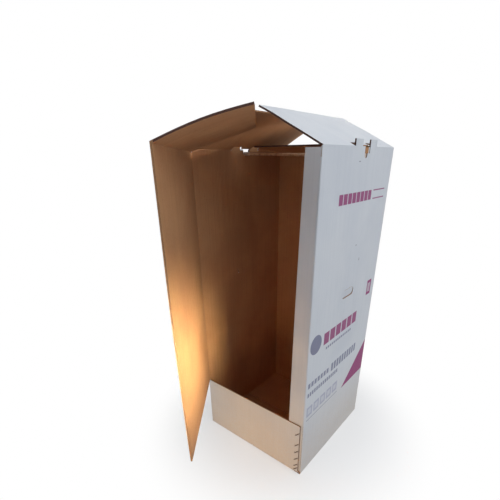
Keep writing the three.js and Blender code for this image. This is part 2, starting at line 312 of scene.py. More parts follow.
linerPaint = {
    "white": colour(214, 216, 220),
    "whiteShade": colour(206, 209, 215),
    "whiteStreak": colour(188, 192, 200),
    # warm tint at the foot of the white walls: partly dust, partly painted warm bounce light from the floor
    "dustAndWarmBounce": colour(212, 181, 136),
    "dustAndWarmBounceTop": 0.42,  # metres from the floor
    "bare": colour(168, 132, 100),  # paper under the white coat
    "kraft": colour(194, 144, 100),
    "kraftDark": colour(158, 108, 72),
    "kraftFleck": colour(120, 74, 44),
    "core": colour(196, 150, 108),
    "coreShade": colour(104, 70, 48),
    "edge": colour(98, 66, 54),
    "edgeShade": colour(58, 38, 34),
    "scuff": colour(138, 136, 146),
    # painted shade in the dent round each stitch
    "dentShade": colour(64, 42, 30),
    "magenta": colour(136, 12, 98),
    "grey": colour(120, 122, 146),
    "palePrint": colour(176, 176, 192),
}


def boardSurface(tree):
    place = objectPlace(tree)
    sheetMap = tree.nodes.new("ShaderNodeUVMap")
    sheetMap.uv_map = "sheet"
    wear = tree.nodes.new("ShaderNodeAttribute")  # markWear writes it
    wear.attribute_name = "wear"
    ribs = useGroup(tree, fluteShow, Sheet=sheetMap.outputs[0], Pitch=board["flutePitch"])
    grain = useGroup(tree, paperGrain, Vector=place)
    return place, wear.outputs["Fac"], ribs, grain


# Printed bars on the right wall: (start, end, low, high, blocks, filled share, ink)
printLayout = [
    (-0.140, 0.108, 1.054, 1.086, 8, 0.86, "magenta"),
    (0.120, 0.224, 1.054, 1.058, 1, 1.1, "magenta"),
    (0.120, 0.224, 1.082, 1.086, 1, 1.1, "magenta"),
    (-0.158, 0.118, 0.572, 0.620, 6, 0.84, "magenta"),
    (-0.137, 0.074, 0.546, 0.556, 14, 0.7, "grey"),
    (-0.246, -0.090, 0.424, 0.446, 7, 0.7, "grey"),
    (-0.076, 0.152, 0.416, 0.454, 10, 0.72, "grey"),
    (-0.246, -0.010, 0.384, 0.402, 15, 0.7, "grey"),
    (-0.244, 0.006, 0.270, 0.273, 1, 1.1, "grey"),
    (0.019, 0.029, 0.9045, 0.9075, 1, 1.1, "scuff"),
    (-0.026, -0.014, 1.1755, 1.1785, 1, 1.1, "scuff"),
    (0.062, 0.067, 0.842, 0.852, 1, 1.1, "scuff"),
]
printSquares = {
    "row": (-0.244, 0.006, 0.288, 0.334, 5, 0.82),
    "rowInner": (-0.236, 0.014, 0.298, 0.324, 5, 0.48),
    "tall": (0.186, 0.228, 0.664, 0.728, 1, 1.1),
    "tallInner": (0.194, 0.220, 0.676, 0.716, 2, 0.8),
    "disc": (-0.212, 0.598, 0.038),  # centre along, centre up, radius
    "wedge": (0.046, 0.262, 0.262, 0.424),  # tip along, end along, low, high
}


def barMask(tree, place, numbers):
    start, end, low, high, count, filled = numbers
    return useGroup(
        tree, printedBar, Vector=place, Start=start, End=end, Low=low, High=high, Count=count, Filled=filled,
    )["Mask"]


def addPrint(tree, place, base):
    for *numbers, ink in printLayout:
        base = blendColour(tree, calc(tree, "MULTIPLY", barMask(tree, place, numbers), 0.93), base, linerPaint[ink])
    for outer, inner, ink in (("row", "rowInner", "palePrint"), ("tall", "tallInner", "magenta")):
        frameMask = calc(tree, "SUBTRACT", barMask(tree, place, printSquares[outer]),
                         calc(tree, "MULTIPLY", barMask(tree, place, printSquares[inner]), 0.7))
        base = blendColour(tree, calc(tree, "MAXIMUM", frameMask, 0.0), base, linerPaint[ink])
    spot = parts(tree, place)
    discY, discZ, radius = printSquares["disc"]
    distance = calc(tree, "SQRT", calc(
        tree, "ADD",
        calc(tree, "POWER", calc(tree, "SUBTRACT", spot[1], discY), 2.0),
        calc(tree, "POWER", calc(tree, "SUBTRACT", spot[2], discZ), 2.0)))
    disc = spread(tree, distance, radius, radius - 0.001)
    base = blendColour(tree, disc, base, linerPaint["grey"])
    tip, end, low, high = printSquares["wedge"]
    slope = (high - low) / (end - tip)
    roof = calc(tree, "ADD", calc(tree, "MULTIPLY", calc(tree, "SUBTRACT", spot[1], tip), slope), low)
    wedge = calc(tree, "MULTIPLY",
                 spread(tree, calc(tree, "SUBTRACT", roof, spot[2]), 0.0, 0.001),
                 spread(tree, calc(tree, "SUBTRACT", spot[2], low), 0.0, 0.001))
    return blendColour(tree, wedge, base, linerPaint["magenta"])


def whiteFinish(name, printed):
    material, tree, shader = newMaterial(name)
    place, wear, ribs, grain = boardSurface(tree)
    base = blendColour(tree, spread(tree, grain["Cloud"], 0.35, 0.7), linerPaint["white"], linerPaint["whiteShade"])
    streak = spread(tree, ribs["Streak"], 0.35, 0.75, 0.0, 0.2)
    base = blendColour(tree, streak, base, linerPaint["whiteStreak"])
    height = parts(tree, place)[2]
    # warm tint on the lowest 0.42 m: partly dust, partly painted warm bounce light from the floor
    low = calc(tree, "MULTIPLY", spread(tree, height, linerPaint["dustAndWarmBounceTop"], 0.0), 0.6)
    base = blendColour(tree, calc(tree, "MULTIPLY", low, grain["Mottle"]), base, linerPaint["dustAndWarmBounce"])
    if printed:
        base = addPrint(tree, place, base)
    else:
        # painted shade in the dent round each stitch
        for level in stitch["heights"]:
            dentShade = useGroup(tree, stitchDentShade, Vector=place, Height=level)["Mask"]
            base = blendColour(tree, calc(tree, "MULTIPLY", dentShade, 0.8), base, linerPaint["dentShade"])
    worn = useGroup(tree, rubbed, Wear=wear, Vector=place, Amount=0.5)["Mask"]
    base = blendColour(tree, worn, base, linerPaint["bare"])
    feed(tree, shader.inputs["Base Color"], base)
    rough = spread(tree, grain["Mottle"], 0.3, 0.7, 0.5, 0.62)
    feed(tree, shader.inputs["Roughness"], calc(tree, "ADD", rough, calc(tree, "MULTIPLY", worn, 0.25)))
    relief = calc(tree, "ADD", calc(tree, "MULTIPLY", ribs["Rib"], 0.5), calc(tree, "MULTIPLY", grain["Fibre"], 0.12))
    feed(tree, shader.inputs["Normal"], bump(tree, relief, 0.35, 0.0004))
    return material


def kraftFinish():
    material, tree, shader = newMaterial("kraftLiner")
    place, wear, ribs, grain = boardSurface(tree)
    cloud = spread(tree, grain["Cloud"], 0.3, 0.7, 0.0, 0.5)
    base = blendColour(tree, cloud, linerPaint["kraft"], linerPaint["kraftDark"])
    streak = spread(tree, ribs["Streak"], 0.4, 0.8, 0.0, 0.4)
    base = blendColour(tree, streak, base, linerPaint["kraftDark"])
    ribShade = spread(tree, ribs["Rib"], 0.0, 1.0, 0.0, 0.12)
    base = blendColour(tree, ribShade, base, linerPaint["kraftDark"])
    flecks = spread(tree, grain["Mottle"], 0.6, 0.74, 0.0, 0.45)
    base = blendColour(tree, flecks, base, linerPaint["kraftFleck"])
    worn = useGroup(tree, rubbed, Wear=wear, Vector=place, Amount=0.5)["Mask"]
    base = blendColour(tree, calc(tree, "MULTIPLY", worn, 0.6), base, linerPaint["core"])
    feed(tree, shader.inputs["Base Color"], base)
    feed(tree, shader.inputs["Roughness"], spread(tree, grain["Mottle"], 0.3, 0.7, 0.7, 0.86))
    relief = calc(tree, "ADD", ribs["Rib"], calc(tree, "MULTIPLY", grain["Fibre"], 0.25))
    feed(tree, shader.inputs["Normal"], bump(tree, relief, 0.5, 0.0005))
    return material


def coreFinish(name, light, dark):
    material, tree, shader = newMaterial(name)
    place, _, _, grain = boardSurface(tree)
    fray = speckle(tree, place, 900, 3.0, 0.7)
    base = blendColour(tree, spread(tree, fray, 0.35, 0.7), linerPaint[light], linerPaint[dark])
    feed(tree, shader.inputs["Base Color"], base)
    feed(tree, shader.inputs["Roughness"], spread(tree, grain["Mottle"], 0.3, 0.7, 0.82, 0.95))
    feed(tree, shader.inputs["Normal"], bump(tree, fray, 0.6, 0.0006))
    return material


whiteLiner = whiteFinish("whiteLiner", False)
printedLiner = whiteFinish("printedLiner", True)
kraftLiner = kraftFinish()
cutBoard = coreFinish("cutBoard", "core", "coreShade")
# Cut edges darkened as painted shade, where the edges fall in shadow
paintedShadeEdge = coreFinish("paintedShadeEdge", "edge", "edgeShade")
boardMaterials = [whiteLiner, kraftLiner, cutBoard, printedLiner, paintedShadeEdge]
outerSlot, innerSlot, coreSlot, printSlot, paintedShadeSlot = range(5)
print("board finishes made")


# Editing by selection
def selectOnly(piece):
    for other in list(bpy.context.selected_objects):
        other.select_set(False)
    piece.select_set(True)
    bpy.context.view_layer.objects.active = piece


def toEdit(piece):
    selectOnly(piece)
    bpy.ops.object.mode_set(mode="EDIT")
    bpy.ops.mesh.select_mode(type="FACE")
    bpy.ops.mesh.select_all(action="DESELECT")


def toObject():
    bpy.ops.object.mode_set(mode="OBJECT")


def selectFaces(piece, wanted):
    mesh = bmesh.from_edit_mesh(piece.data)
    for face in mesh.faces:
        face.select_set(wanted(face))
    bmesh.update_edit_mesh(piece.data)


def extrudeBy(x, y, z):
    bpy.ops.mesh.extrude_region_move(TRANSFORM_OT_translate={"value": (x, y, z)})


def addBevel(piece, width, segments, degrees=None):
    bevel = piece.modifiers.new("rim", "BEVEL")
    bevel.width = width
    bevel.segments = segments
    if degrees:
        bevel.limit_method = "ANGLE"
        bevel.angle_limit = math.radians(degrees)


def addWall(piece, thickness, offset=0):
    wall = piece.modifiers.new("wall", "SOLIDIFY")
    wall.thickness = thickness
    wall.offset = offset


def applyModifiers(piece):
    selectOnly(piece)
    for modifier in list(piece.modifiers):
        bpy.ops.object.modifier_apply(modifier=modifier.name)


def joinTo(piece, extras):
    selectOnly(piece)
    for extra in extras:
        extra.select_set(True)
    bpy.ops.object.join()


def startFromNode(nodeName, pieceName, toFlat):
    piece = bpy.data.objects.new(pieceName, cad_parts[nodeName].data.copy())
    bpy.context.scene.collection.objects.link(piece)
    piece.data.transform(toFlat)
    piece.data.materials.clear()
    for material in boardMaterials:
        piece.data.materials.append(material)
    selectOnly(piece)
    bpy.ops.mesh.customdata_custom_splitnormals_clear()
    toEdit(piece)
    bpy.ops.mesh.select_all(action="SELECT")
    bpy.ops.mesh.remove_doubles(threshold=0.000002)
    bpy.ops.mesh.dissolve_limited(angle_limit=math.radians(0.5))
    toObject()
    return piece


def rows(low, high):
    band = board["edgeBand"]
    between = high - low - 2 * band
    count = max(1, round(between / board["gridSpacing"]))
    return [low + band + between * step / count for step in range(count + 1)]


def cutRows(piece, direction, places):
    toEdit(piece)
    for place in places:
        bpy.ops.mesh.select_all(action="SELECT")
        bpy.ops.mesh.bisect(plane_co=direction * place, plane_no=direction)
    toObject()


# A face with one board's thickness behind it is a liner, and any other is a cut edge.
# Where two walls meet, the outer liner has a whole wall behind it, so folded() names those faces.
def markFaces(piece, folded=lambda spot, normal: False):
    mesh = piece.data
    mesh.calc_loop_triangles()
    points = [vertex.co.copy() for vertex in mesh.vertices]
    tree = BVHTree.FromPolygons(points, [tuple(tri.vertices) for tri in mesh.loop_triangles])
    widest = {}
    for tri in mesh.loop_triangles:
        if tri.area >= widest.get(tri.polygon_index, (0, None))[0]:
            corners = [points[i] for i in tri.vertices]
            widest[tri.polygon_index] = (tri.area, (corners[0] + corners[1] + corners[2]) / 3)
    for face in mesh.polygons:
        spot = widest[face.index][1]
        behind = tree.ray_cast(spot - face.normal * 0.0002, -face.normal)[3]
        outwards = (spot - middle).dot(face.normal) > 0
        if folded(spot, face.normal):
            face.material_index = outerSlot
        elif behind is None or behind > 2.2 * board["thickness"]:
            face.material_index = coreSlot
        else:
            face.material_index = outerSlot if outwards else innerSlot


def openCutEdges(piece, kept=lambda spot: False):
    toEdit(piece)
    selectFaces(piece, lambda face: face.material_index == coreSlot and not kept(face.calc_center_median()))
    bpy.ops.mesh.inset(thickness=board["liner"], depth=-board["recess"], use_even_offset=False)
    toObject()


# The wavy paper between the liners, seen end on where a cut crosses the flutes.
def fluteEnd(start, along, outward, length):
    pitch = board["flutePitch"]
    across = along.cross(outward)
    swing = board["thickness"] / 2 - board["liner"] - 0.0001
    steps = max(8, round(length / pitch * 6))
    bpy.ops.mesh.primitive_grid_add(x_subdivisions=steps, y_subdivisions=1, size=1, location=(0, 0, 0))
    ribbon = bpy.context.active_object
    for vertex in ribbon.data.vertices:
        reach = (vertex.co.x + 0.5) * length
        depth = 0.0002 + (vertex.co.y + 0.5) * board["recess"]
        wave = swing * math.sin(2 * math.pi * reach / pitch)
        vertex.co = start + along * reach - outward * depth + across * wave
    addWall(ribbon, 0.00025)
    applyModifiers(ribbon)
    ribbon.data.materials.append(cutBoard)
    return ribbon


def layOutSheet(piece, runsAlongX):
    # The sheet map: across the flutes, then along them
    mesh = piece.data
    sheetMap = mesh.uv_layers.new(name="sheet")
    for face in mesh.polygons:
        across, along = alongX, alongZ
        if abs(face.normal.z) > 0.7:
            across, along = (alongY, alongX) if runsAlongX(face.center) else (alongX, alongY)
        elif abs(face.normal.x) > 0.7:
            across = alongY
        for loop in face.loop_indices:
            point = mesh.vertices[mesh.loops[loop].vertex_index].co
            sheetMap.data[loop].uv = (point.dot(across), point.dot(along))


def markWear(piece, isCorner=lambda point: False):
    mesh = piece.data
    worn = [0.0] * len(mesh.vertices)
    for face in mesh.polygons:
        if face.material_index == coreSlot:
            for index in face.vertices:
                worn[index] = 1.0
    for vertex in mesh.vertices:
        if isCorner(vertex.co):
            worn[vertex.index] = max(worn[vertex.index], 0.12)
    wear = mesh.attributes.new("wear", "FLOAT", "POINT")
    wear.data.foreach_set("value", worn)


def shapeBoard(piece, move):
    for vertex in piece.data.vertices:
        vertex.co += move(vertex.co.copy())


def smoothBoard(piece, degrees=32):
    selectOnly(piece)
    bpy.ops.object.shade_smooth_by_angle(angle=math.radians(degrees))


def finishPiece(piece, nodes, body):
    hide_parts(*nodes)
    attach(piece, body)


def ripples(along, up, seed):
    # A slow uneven wave, about 1 at most
    return (
        math.sin(along * 17 + seed) * math.cos(up * 9 + seed * 2)
        + 0.6 * math.sin(along * 31 + up * 13 + seed * 3)
    ) / 1.6


def window(value, low, high):
    share = (value - low) / (high - low)
    return math.sin(math.pi * share) if 0 < share < 1 else 0.0


# Carton sheet: walls, low panel, joint strip, bottom flaps and back flap
def cartonMove(point):
    x, y, z = point
    move = Vector((0, 0, 0))
    up = window(z, 0.012, carton["height"])
    if abs(x) > right - 0.0065 and z > 0.012:
        span = window(y, front + 0.006, back - 0.006)
        side = 1 if x > 0 else -1
        amount = carton["bulge"] * span * up + carton["ripple"] * ripples(y, z, 1.7 * side) * span * up
        move.x = side * amount
    if y > back - 0.0065 and z > 0.012:
        span = window(x, left + 0.006, right - 0.006)
        move.y = (carton["bulge"] + carton["ripple"] * ripples(x, z, 4.1)) * span * up
    if y < front + 0.012 and x > right - 0.09 and z > carton["lowPanelTop"]:
        reach = min(1.0, max(0.0, (right - 0.006 - x) / 0.05))
        move.y = -carton["stripBow"] * reach * window(z, carton["lowPanelTop"], carton["stripTop"])
    return move


def closedEdges(point):
    # The stitch holes and the mitred creases stay as they are
    stitchHoles = right - 0.036 < point.x < right - 0.0125 and point.y < front + 0.012 and point.z < 0.23
    sideCrease = abs(point.x) > right - 0.0052 and carton["height"] - 0.006 < point.z < carton["height"] + 0.0005
    doorCrease = point.x < left + 0.0052 and point.y < front + 0.0052 and point.z > carton["lowPanelTop"]
    return stitchHoles or sideCrease or doorCrease


def foldedCorner(spot, normal):
    sideways = abs(normal.x) > 0.99 and abs(abs(spot.x) - right) < 0.0001
    lengthways = abs(normal.y) > 0.99 and abs(abs(spot.y) - back) < 0.0001
    return sideways or lengthways or (normal.z < -0.99 and spot.z < 0.0012)


def cartonCorner(point):
    reach = carton["corner"]
    return abs(point.x) > right - reach and abs(point.y) > back - reach and point.z < carton["height"]


def cartonSlot(slot, spot, normal):
    tabAlong, tabUp = carton["lockingTab"]
    if slot == outerSlot and normal.x > 0.7 and spot.x > right - 0.001:
        return printSlot
    if slot == coreSlot:
        if spot.x > right - 0.02 and spot.y < front + 0.02 and spot.z < 0.012:
            return paintedShadeSlot  # the foot of the front right corner, in painted shade
        if spot.x > right - 0.011 and spot.y < front + 0.008 and 0.26 < spot.z < 1.2:
            return outerSlot  # the front right corner is folded, not cut
        if abs(spot.y) > back - 0.006 and spot.z < 0.006:
            return outerSlot  # the bottom flaps' ends, tucked under the walls
        if spot.y < front + 0.006 and normal.x > 0.9 and spot.z < 0.26:
            return paintedShadeSlot  # the low panel's end, over the joint strip, in painted shadow of the gap
        # the cut edges round the rail slots, in painted shade
        if carton["slotSpan"][0] < spot.y < carton["slotSpan"][1] and spot.z > 1.17:
            return paintedShadeSlot
    if tabAlong[0] < spot.y < tabAlong[1] and tabUp[0] < spot.z < tabUp[1] and abs(spot.x) < right - 0.0052:
        return innerSlot  # the locking tabs take the kraft colour, as painted shade on their faces in the slots
    return slot


def makeCartonShell():
    piece = startFromNode("carton_body", "carton_shell", Matrix.Identity(4))
    cutRows(piece, alongX, rows(left, right) + [right - carton["stripWidth"] + 0.004])
    cutRows(piece, alongY, rows(front, back))
    cutRows(piece, alongZ, rows(0.0106, carton["lowPanelTop"]) + rows(carton["lowPanelTop"], carton["height"]))
    markFaces(piece, foldedCorner)
    openCutEdges(piece, closedEdges)
    ribbons = [
        fluteEnd(Vector((left + 0.006, front + 0.0025, carton["lowPanelTop"])), alongX, alongZ,
                 carton["lowPanelEnd"] - left - 0.007),
        fluteEnd(Vector((right - carton["stripWidth"] + 0.001, front + 0.0078, carton["stripTop"])), alongX, alongZ,
                 carton["stripWidth"] - 0.007),
    ]
    joinTo(piece, ribbons)
    for face in piece.data.polygons:
        face.material_index = cartonSlot(face.material_index, face.center, face.normal)
    shapeBoard(piece, cartonMove)
    layOutSheet(piece, lambda spot: spot.z < 0.006)
    markWear(piece, cartonCorner)
    smoothBoard(piece)
    finishPiece(piece, ["carton_body"], "carton")
    print("carton sheet:", len(piece.data.polygons), "faces")


makeCartonShell()


# Door and side flaps are shaped as they lie closed, then turned to where they rest.
door = {
    "width": 0.486,
    "angle": 50.8,  # open at rest
    "bottom": 0.2535,
    "crease": 1.212,  # where its top flap folds
    "flapLength": 0.24,
    "flapTilt": 17.4,
    "flapShift": 0.034,  # where the flap's hinge side starts, from the door's own
    "bow": 0.004,
    "raise": 0.0105,  # its free top corner is sprung up
    "raiseFrom": 0.3,  # metres below the crease
    "flapBow": 0.007,
}
sideFlap = {
    "length": 0.24,
    "leftAngle": 28.8,  # raised at rest
    "rightAngle": 25.5,
    "sag": 0.0016,
    "droop": {"left_flap": 0.014, "right_flap": 0.0},  # the left one curls down under its own weight
    "creaseSpans": ((-0.254, -0.064), (0.104, 0.259)),  # in front of and behind the standing tabs
}


def turnAbout(place, degrees, axis):
    shift = Matrix.Translation(place)
    return shift @ Matrix.Rotation(math.radians(degrees), 4, axis) @ shift.inverted()


def doorMove(point):
    along = max(0.0, (point.x - left) / door["width"])
    lift = door["raise"] * along ** 1.5
    if point.z <= door["crease"]:
        amount = door["bow"] * along * window(point.z, door["bottom"], door["crease"])
        amount += carton["ripple"] * ripples(point.x, point.z, 2.9) * min(1.0, along * 4)
        amount *= min(1.0, (door["crease"] - point.z) / 0.05)
        share = max(0.0, 1 - (door["crease"] - point.z) / door["raiseFrom"])
        return Vector((0, -amount, lift * share * share * (3 - 2 * share)))
    reach = max(0.0, (point.y - front) / door["flapLength"])
    bow = door["flapBow"] * along ** 2 * window(reach, 0, 0.96)
    return Vector((0, 0, lift + bow - sideFlap["sag"] * reach * window(along, -0.02, 1.02)))


def makeDoor():
    hinge = Vector((left, front, 0))
    rest = turnAbout(hinge, -door["angle"], "Z")
    piece = startFromNode("door_panel", "door_board", rest.inverted())
    cutRows(piece, alongX, rows(left, left + door["width"]))
    cutRows(piece, alongZ, rows(door["bottom"], door["crease"]))
    cutRows(piece, alongY, rows(front + 0.005, front + 0.225))
    markFaces(piece)
    openCutEdges(piece, lambda spot: spot.x < left + 0.0058 and spot.z < door["crease"] - 0.006)
    tilt = math.radians(door["flapTilt"])
    flapOut = Vector((0, math.cos(tilt), math.sin(tilt)))
    flapUp = Vector((0, -math.sin(tilt), math.cos(tilt)))
    flapStart = Vector((left + door["flapShift"], front, door["crease"]))
    flapStart += flapOut * door["flapLength"] - flapUp * board["thickness"] / 2
    ribbons = [
        fluteEnd(Vector((left + 0.006, front + 0.0025, door["bottom"])), alongX, -alongZ, door["width"] - 0.007),
        fluteEnd(flapStart, alongX, flapOut, door["width"] - door["flapShift"] - 0.001),
    ]
    joinTo(piece, ribbons)
    for face in piece.data.polygons:
        onFreeSide = face.center.x > left + door["width"] - 0.002 and face.center.z > door["crease"]
        if face.material_index == coreSlot and onFreeSide:
            face.material_index = paintedShadeSlot  # the flap's free edge, in painted shade
    shapeBoard(piece, doorMove)
    layOutSheet(piece, lambda spot: False)
    markWear(piece)
    piece.data.transform(rest)
    smoothBoard(piece)
    finishPiece(piece, ["door_panel"], "door")
    print("door:", len(piece.data.polygons), "faces")


def makeSideFlap(side, nodeName, pieceName, body, angle):
    hinge = Vector((side * right, 0, carton["height"]))
    rest = turnAbout(hinge, side * angle, "Y")
    piece = startFromNode(nodeName, pieceName, rest.inverted())
    edge = side * (right - sideFlap["length"])
    cutRows(piece, alongX, rows(min(edge, side * right), max(edge, side * right)))
    cutRows(piece, alongY, rows(front, back))
    markFaces(piece)
    openCutEdges(piece, lambda spot: side * (side * right - spot.x) < 0.0125)
    low, high = min(v.co.y for v in piece.data.vertices), max(v.co.y for v in piece.data.vertices)
    start = Vector((edge, low + 0.001, carton["height"] - 0.0025))
    joinTo(piece, [fluteEnd(start, alongY, Vector((-side, 0, 0)), high - low - 0.002)])

    def move(point):
        reach = max(0.0, (side * right - point.x) * side / sideFlap["length"])
        sag = sideFlap["sag"] * window(reach, 0, 1.3) * (1 + 0.4 * ripples(point.y, reach, 5 + side))
        return Vector((0, 0, sag - sideFlap["droop"][body] * reach * reach))

    layOutSheet(piece, lambda spot: True)
    markWear(piece)
    for face in piece.data.polygons:
        if face.material_index == coreSlot and face.center.y < front + 0.012:
            face.material_index = paintedShadeSlot  # the front edges, in painted shade
    shapeBoard(piece, move)
    piece.data.transform(rest)
    smoothBoard(piece)
    finishPiece(piece, [nodeName], body)
    print(pieceName + ":", len(piece.data.polygons), "faces")


makeDoor()
makeSideFlap(-1, "left_top_flap", "left_flap_board", "left_flap", sideFlap["leftAngle"])
makeSideFlap(1, "right_top_flap", "right_flap_board", "right_flap", sideFlap["rightAngle"])


# Rail, its end caps, the wire stitches and the tape
railPaint = {
    # the rail's warm tan is painted reflection of the kraft inside the carton
    "metalKraftReflection": colour(228, 198, 170),
    "metalDullKraftReflection": colour(186, 152, 124),
    "cap": colour(188, 166, 152),
    "wire": colour(84, 52, 38),
    "wireDull": colour(46, 30, 26),
    "tape": colour(196, 160, 104),
}


def metalFinish(name, bright, dull, roughness, metallic):
    material, tree, shader = newMaterial(name)
    place = objectPlace(tree)
    brushed = speckle(tree, stretch(tree, place, (12, 900, 900)), 1.0, 3.0, 0.6)
    patches = speckle(tree, place, 60, 3.0, 0.6)
    base = blendColour(tree, spread(tree, patches, 0.4, 0.75), bright, dull)
    feed(tree, shader.inputs["Base Color"], base)
    feed(tree, shader.inputs["Roughness"], spread(tree, brushed, 0.3, 0.7, roughness - 0.06, roughness + 0.1))
    feed(tree, shader.inputs["Normal"], bump(tree, brushed, 0.15, 0.0002))
    shader.inputs["Metallic"].default_value = metallic
    return material


def capFinish():
    material, tree, shader = newMaterial("capPlastic")
    place = objectPlace(tree)
    pits = speckle(tree, place, 900, 2.0, 0.6)
    base = blendColour(tree, spread(tree, speckle(tree, place, 70), 0.4, 0.7, 0.0, 0.4),
                       railPaint["cap"], linerPaint["dustAndWarmBounce"])
    feed(tree, shader.inputs["Base Color"], base)
    feed(tree, shader.inputs["Roughness"], spread(tree, pits, 0.3, 0.7, 0.42, 0.55))
    feed(tree, shader.inputs["Normal"], bump(tree, pits, 0.2, 0.0003))
    return material


def tapeFinish():
    material, tree, shader = newMaterial("tapeFilm")
    place = objectPlace(tree)
    wrinkle = speckle(tree, stretch(tree, place, (60, 14, 1)), 1.0, 4.0, 0.6)
    base = blendColour(tree, spread(tree, wrinkle, 0.4, 0.8, 0.0, 0.5), railPaint["tape"], linerPaint["kraftDark"])
    feed(tree, shader.inputs["Base Color"], base)
    feed(tree, shader.inputs["Roughness"], spread(tree, wrinkle, 0.3, 0.7, 0.16, 0.34))
    feed(tree, shader.inputs["Normal"], bump(tree, wrinkle, 0.4, 0.0005))
    return material


# rail base colours hold a painted reflection of the kraft inside the carton
railMetal = metalFinish("railMetal", railPaint["metalKraftReflection"], railPaint["metalDullKraftReflection"], 0.36, 0.65)
stitchWire = metalFinish("stitchWire", railPaint["wire"], railPaint["wireDull"], 0.5, 0.6)
capPlastic = capFinish()
tapeFilm = tapeFinish()

# A tube in two cups, tilted because the left slot is shallower
rail = {
    "radius": 0.0052,
    "wall": 0.001,
    "length": 0.5144,
    "centre": (0, 0.02, 1.1983),
    "drop": 0.010,  # how much lower its right end is
    "capRadius": 0.007,
    "capLength": 0.026,
    "capEnd": 0.259,  # from the middle to a cap's outer end
    "ribs": 3,
}


def railPlace(reach):
    tilt = math.atan2(rail["drop"], carton["width"] - board["thickness"])
    turn = Matrix.Rotation(tilt, 4, "Y")
    return Matrix.Translation(rail["centre"]) @ turn @ Matrix.Translation((reach, 0, 0)) @ Matrix.Rotation(
        math.pi / 2, 4, "Y")


def makeRail():
    bpy.ops.mesh.primitive_cylinder_add(
        vertices=40, radius=rail["radius"], depth=rail["length"], end_fill_type="NOTHING")
    piece = bpy.context.active_object
    piece.name = "rail_tube"
    cutRows(piece, alongZ, [rail["length"] * (step / 16 - 0.5) for step in range(1, 16)])
    for vertex in piece.data.vertices:
        if vertex.co.y < -rail["radius"] * 0.995:
            vertex.co.y += 0.00025  # the rolled seam along the tube
    addWall(piece, rail["wall"], -1)
    addBevel(piece, 0.0002, 2, 60)
    applyModifiers(piece)
    piece.data.transform(railPlace(0))
    piece.data.materials.append(railMetal)
    smoothBoard(piece, 40)
    finishPiece(piece, ["hanging_rail"], "carton")


def makeCap(side, nodeName):
    bpy.ops.mesh.primitive_cylinder_add(vertices=40, radius=rail["capRadius"], depth=rail["capLength"])
    piece = bpy.context.active_object
    piece.name = nodeName + "_cup"
    half = rail["capLength"] / 2
    ribAt = [-half + 0.004 + 0.0028 * rib for rib in range(rail["ribs"])]
    cutRows(piece, alongZ, [place + offset for place in ribAt for offset in (-0.0007, 0, 0.0007)])
    for vertex in piece.data.vertices:
        if any(abs(vertex.co.z - place) < 0.0002 for place in ribAt):
            vertex.co.x *= 0.95  # grooves round the open end
            vertex.co.y *= 0.95
    toEdit(piece)
    selectFaces(piece, lambda face: face.normal.z < -0.9)
    bpy.ops.mesh.inset(thickness=rail["capRadius"] - rail["radius"] - 0.0003)
    extrudeBy(0, 0, rail["capLength"] - 0.0035)
    selectFaces(piece, lambda face: face.normal.z > 0.9 and face.calc_center_median().z > half - 0.0002)
    bpy.ops.mesh.inset(thickness=0.0022)
    extrudeBy(0, 0, -0.0005)
    toObject()
    addBevel(piece, 0.0005, 3, 50)
    applyModifiers(piece)
    if side < 0:
        piece.data.transform(Matrix.Rotation(math.pi, 4, "X"))
    piece.data.transform(railPlace(side * (rail["capEnd"] - half)))
    piece.data.materials.append(capPlastic)
    smoothBoard(piece, 40)
    finishPiece(piece, [nodeName], "carton")


makeRail()
makeCap(-1, "rail_end_cap_left")
makeCap(1, "rail_end_cap_right")
print("rail and end caps made")


def makeStitch():
    half, wire = stitch["length"] / 2, stitch["wire"]
    bpy.ops.mesh.primitive_cube_add(size=1)
    piece = bpy.context.active_object
    piece.data.transform(Matrix.Diagonal((stitch["length"], wire, stitch["flat"], 1)))
    cutRows(piece, alongX, [wire - half, -half / 2, 0, half / 2, half - wire])
    toEdit(piece)
    selectFaces(piece, lambda face: face.normal.y > 0.9 and abs(face.calc_center_median().x) > half - wire)
    extrudeBy(0, stitch["depth"] - wire, 0)
    extrudeBy(0, wire, 0)
    for side in (-1, 1):
        selectFaces(piece, lambda face: face.normal.x * side < -0.9
                    and face.calc_center_median().x * side > 0
                    and face.calc_center_median().y > stitch["depth"] - wire)
        extrudeBy(-side * stitch["clinch"], 0, 0)
    toObject()
    for vertex in piece.data.vertices:
        if abs(vertex.co.x) < half * 0.6 and vertex.co.y < wire:
            vertex.co.y -= 0.0002  # the crown stands a little proud in its middle
    addBevel(piece, stitch["rounding"], 2)
    applyModifiers(piece)
    piece.data.materials.append(stitchWire)
    smoothBoard(piece, 50)
    return piece


def makeStitches():
    pattern = makeStitch()
    y = front - 0.0003 - stitch["wire"] / 2
    for index, height in enumerate(stitch["heights"]):
        piece = pattern.copy()
        piece.data = pattern.data.copy()
        piece.name = "wire_stitch_" + str(index + 1)
        bpy.context.scene.collection.objects.link(piece)
        lean = stitch["slant"] + stitch["leans"][index]
        piece.data.transform(Matrix.Rotation(math.radians(-lean), 4, "Y"))
        piece.data.transform(Matrix.Translation((right - stitch["fromCorner"], y, height)))
        finishPiece(piece, ["stitch_" + str(index + 1)], "carton")
    bpy.data.objects.remove(pattern)


makeStitches()
print("wire stitches made")


tape = {
    "width": 0.048,
    "end": 0.008,  # from the carton's front and back edges
    "film": 0.0003,
    "teeth": 16,
    "toothDepth": 0.002,
    "rowsAlong": 60,
}


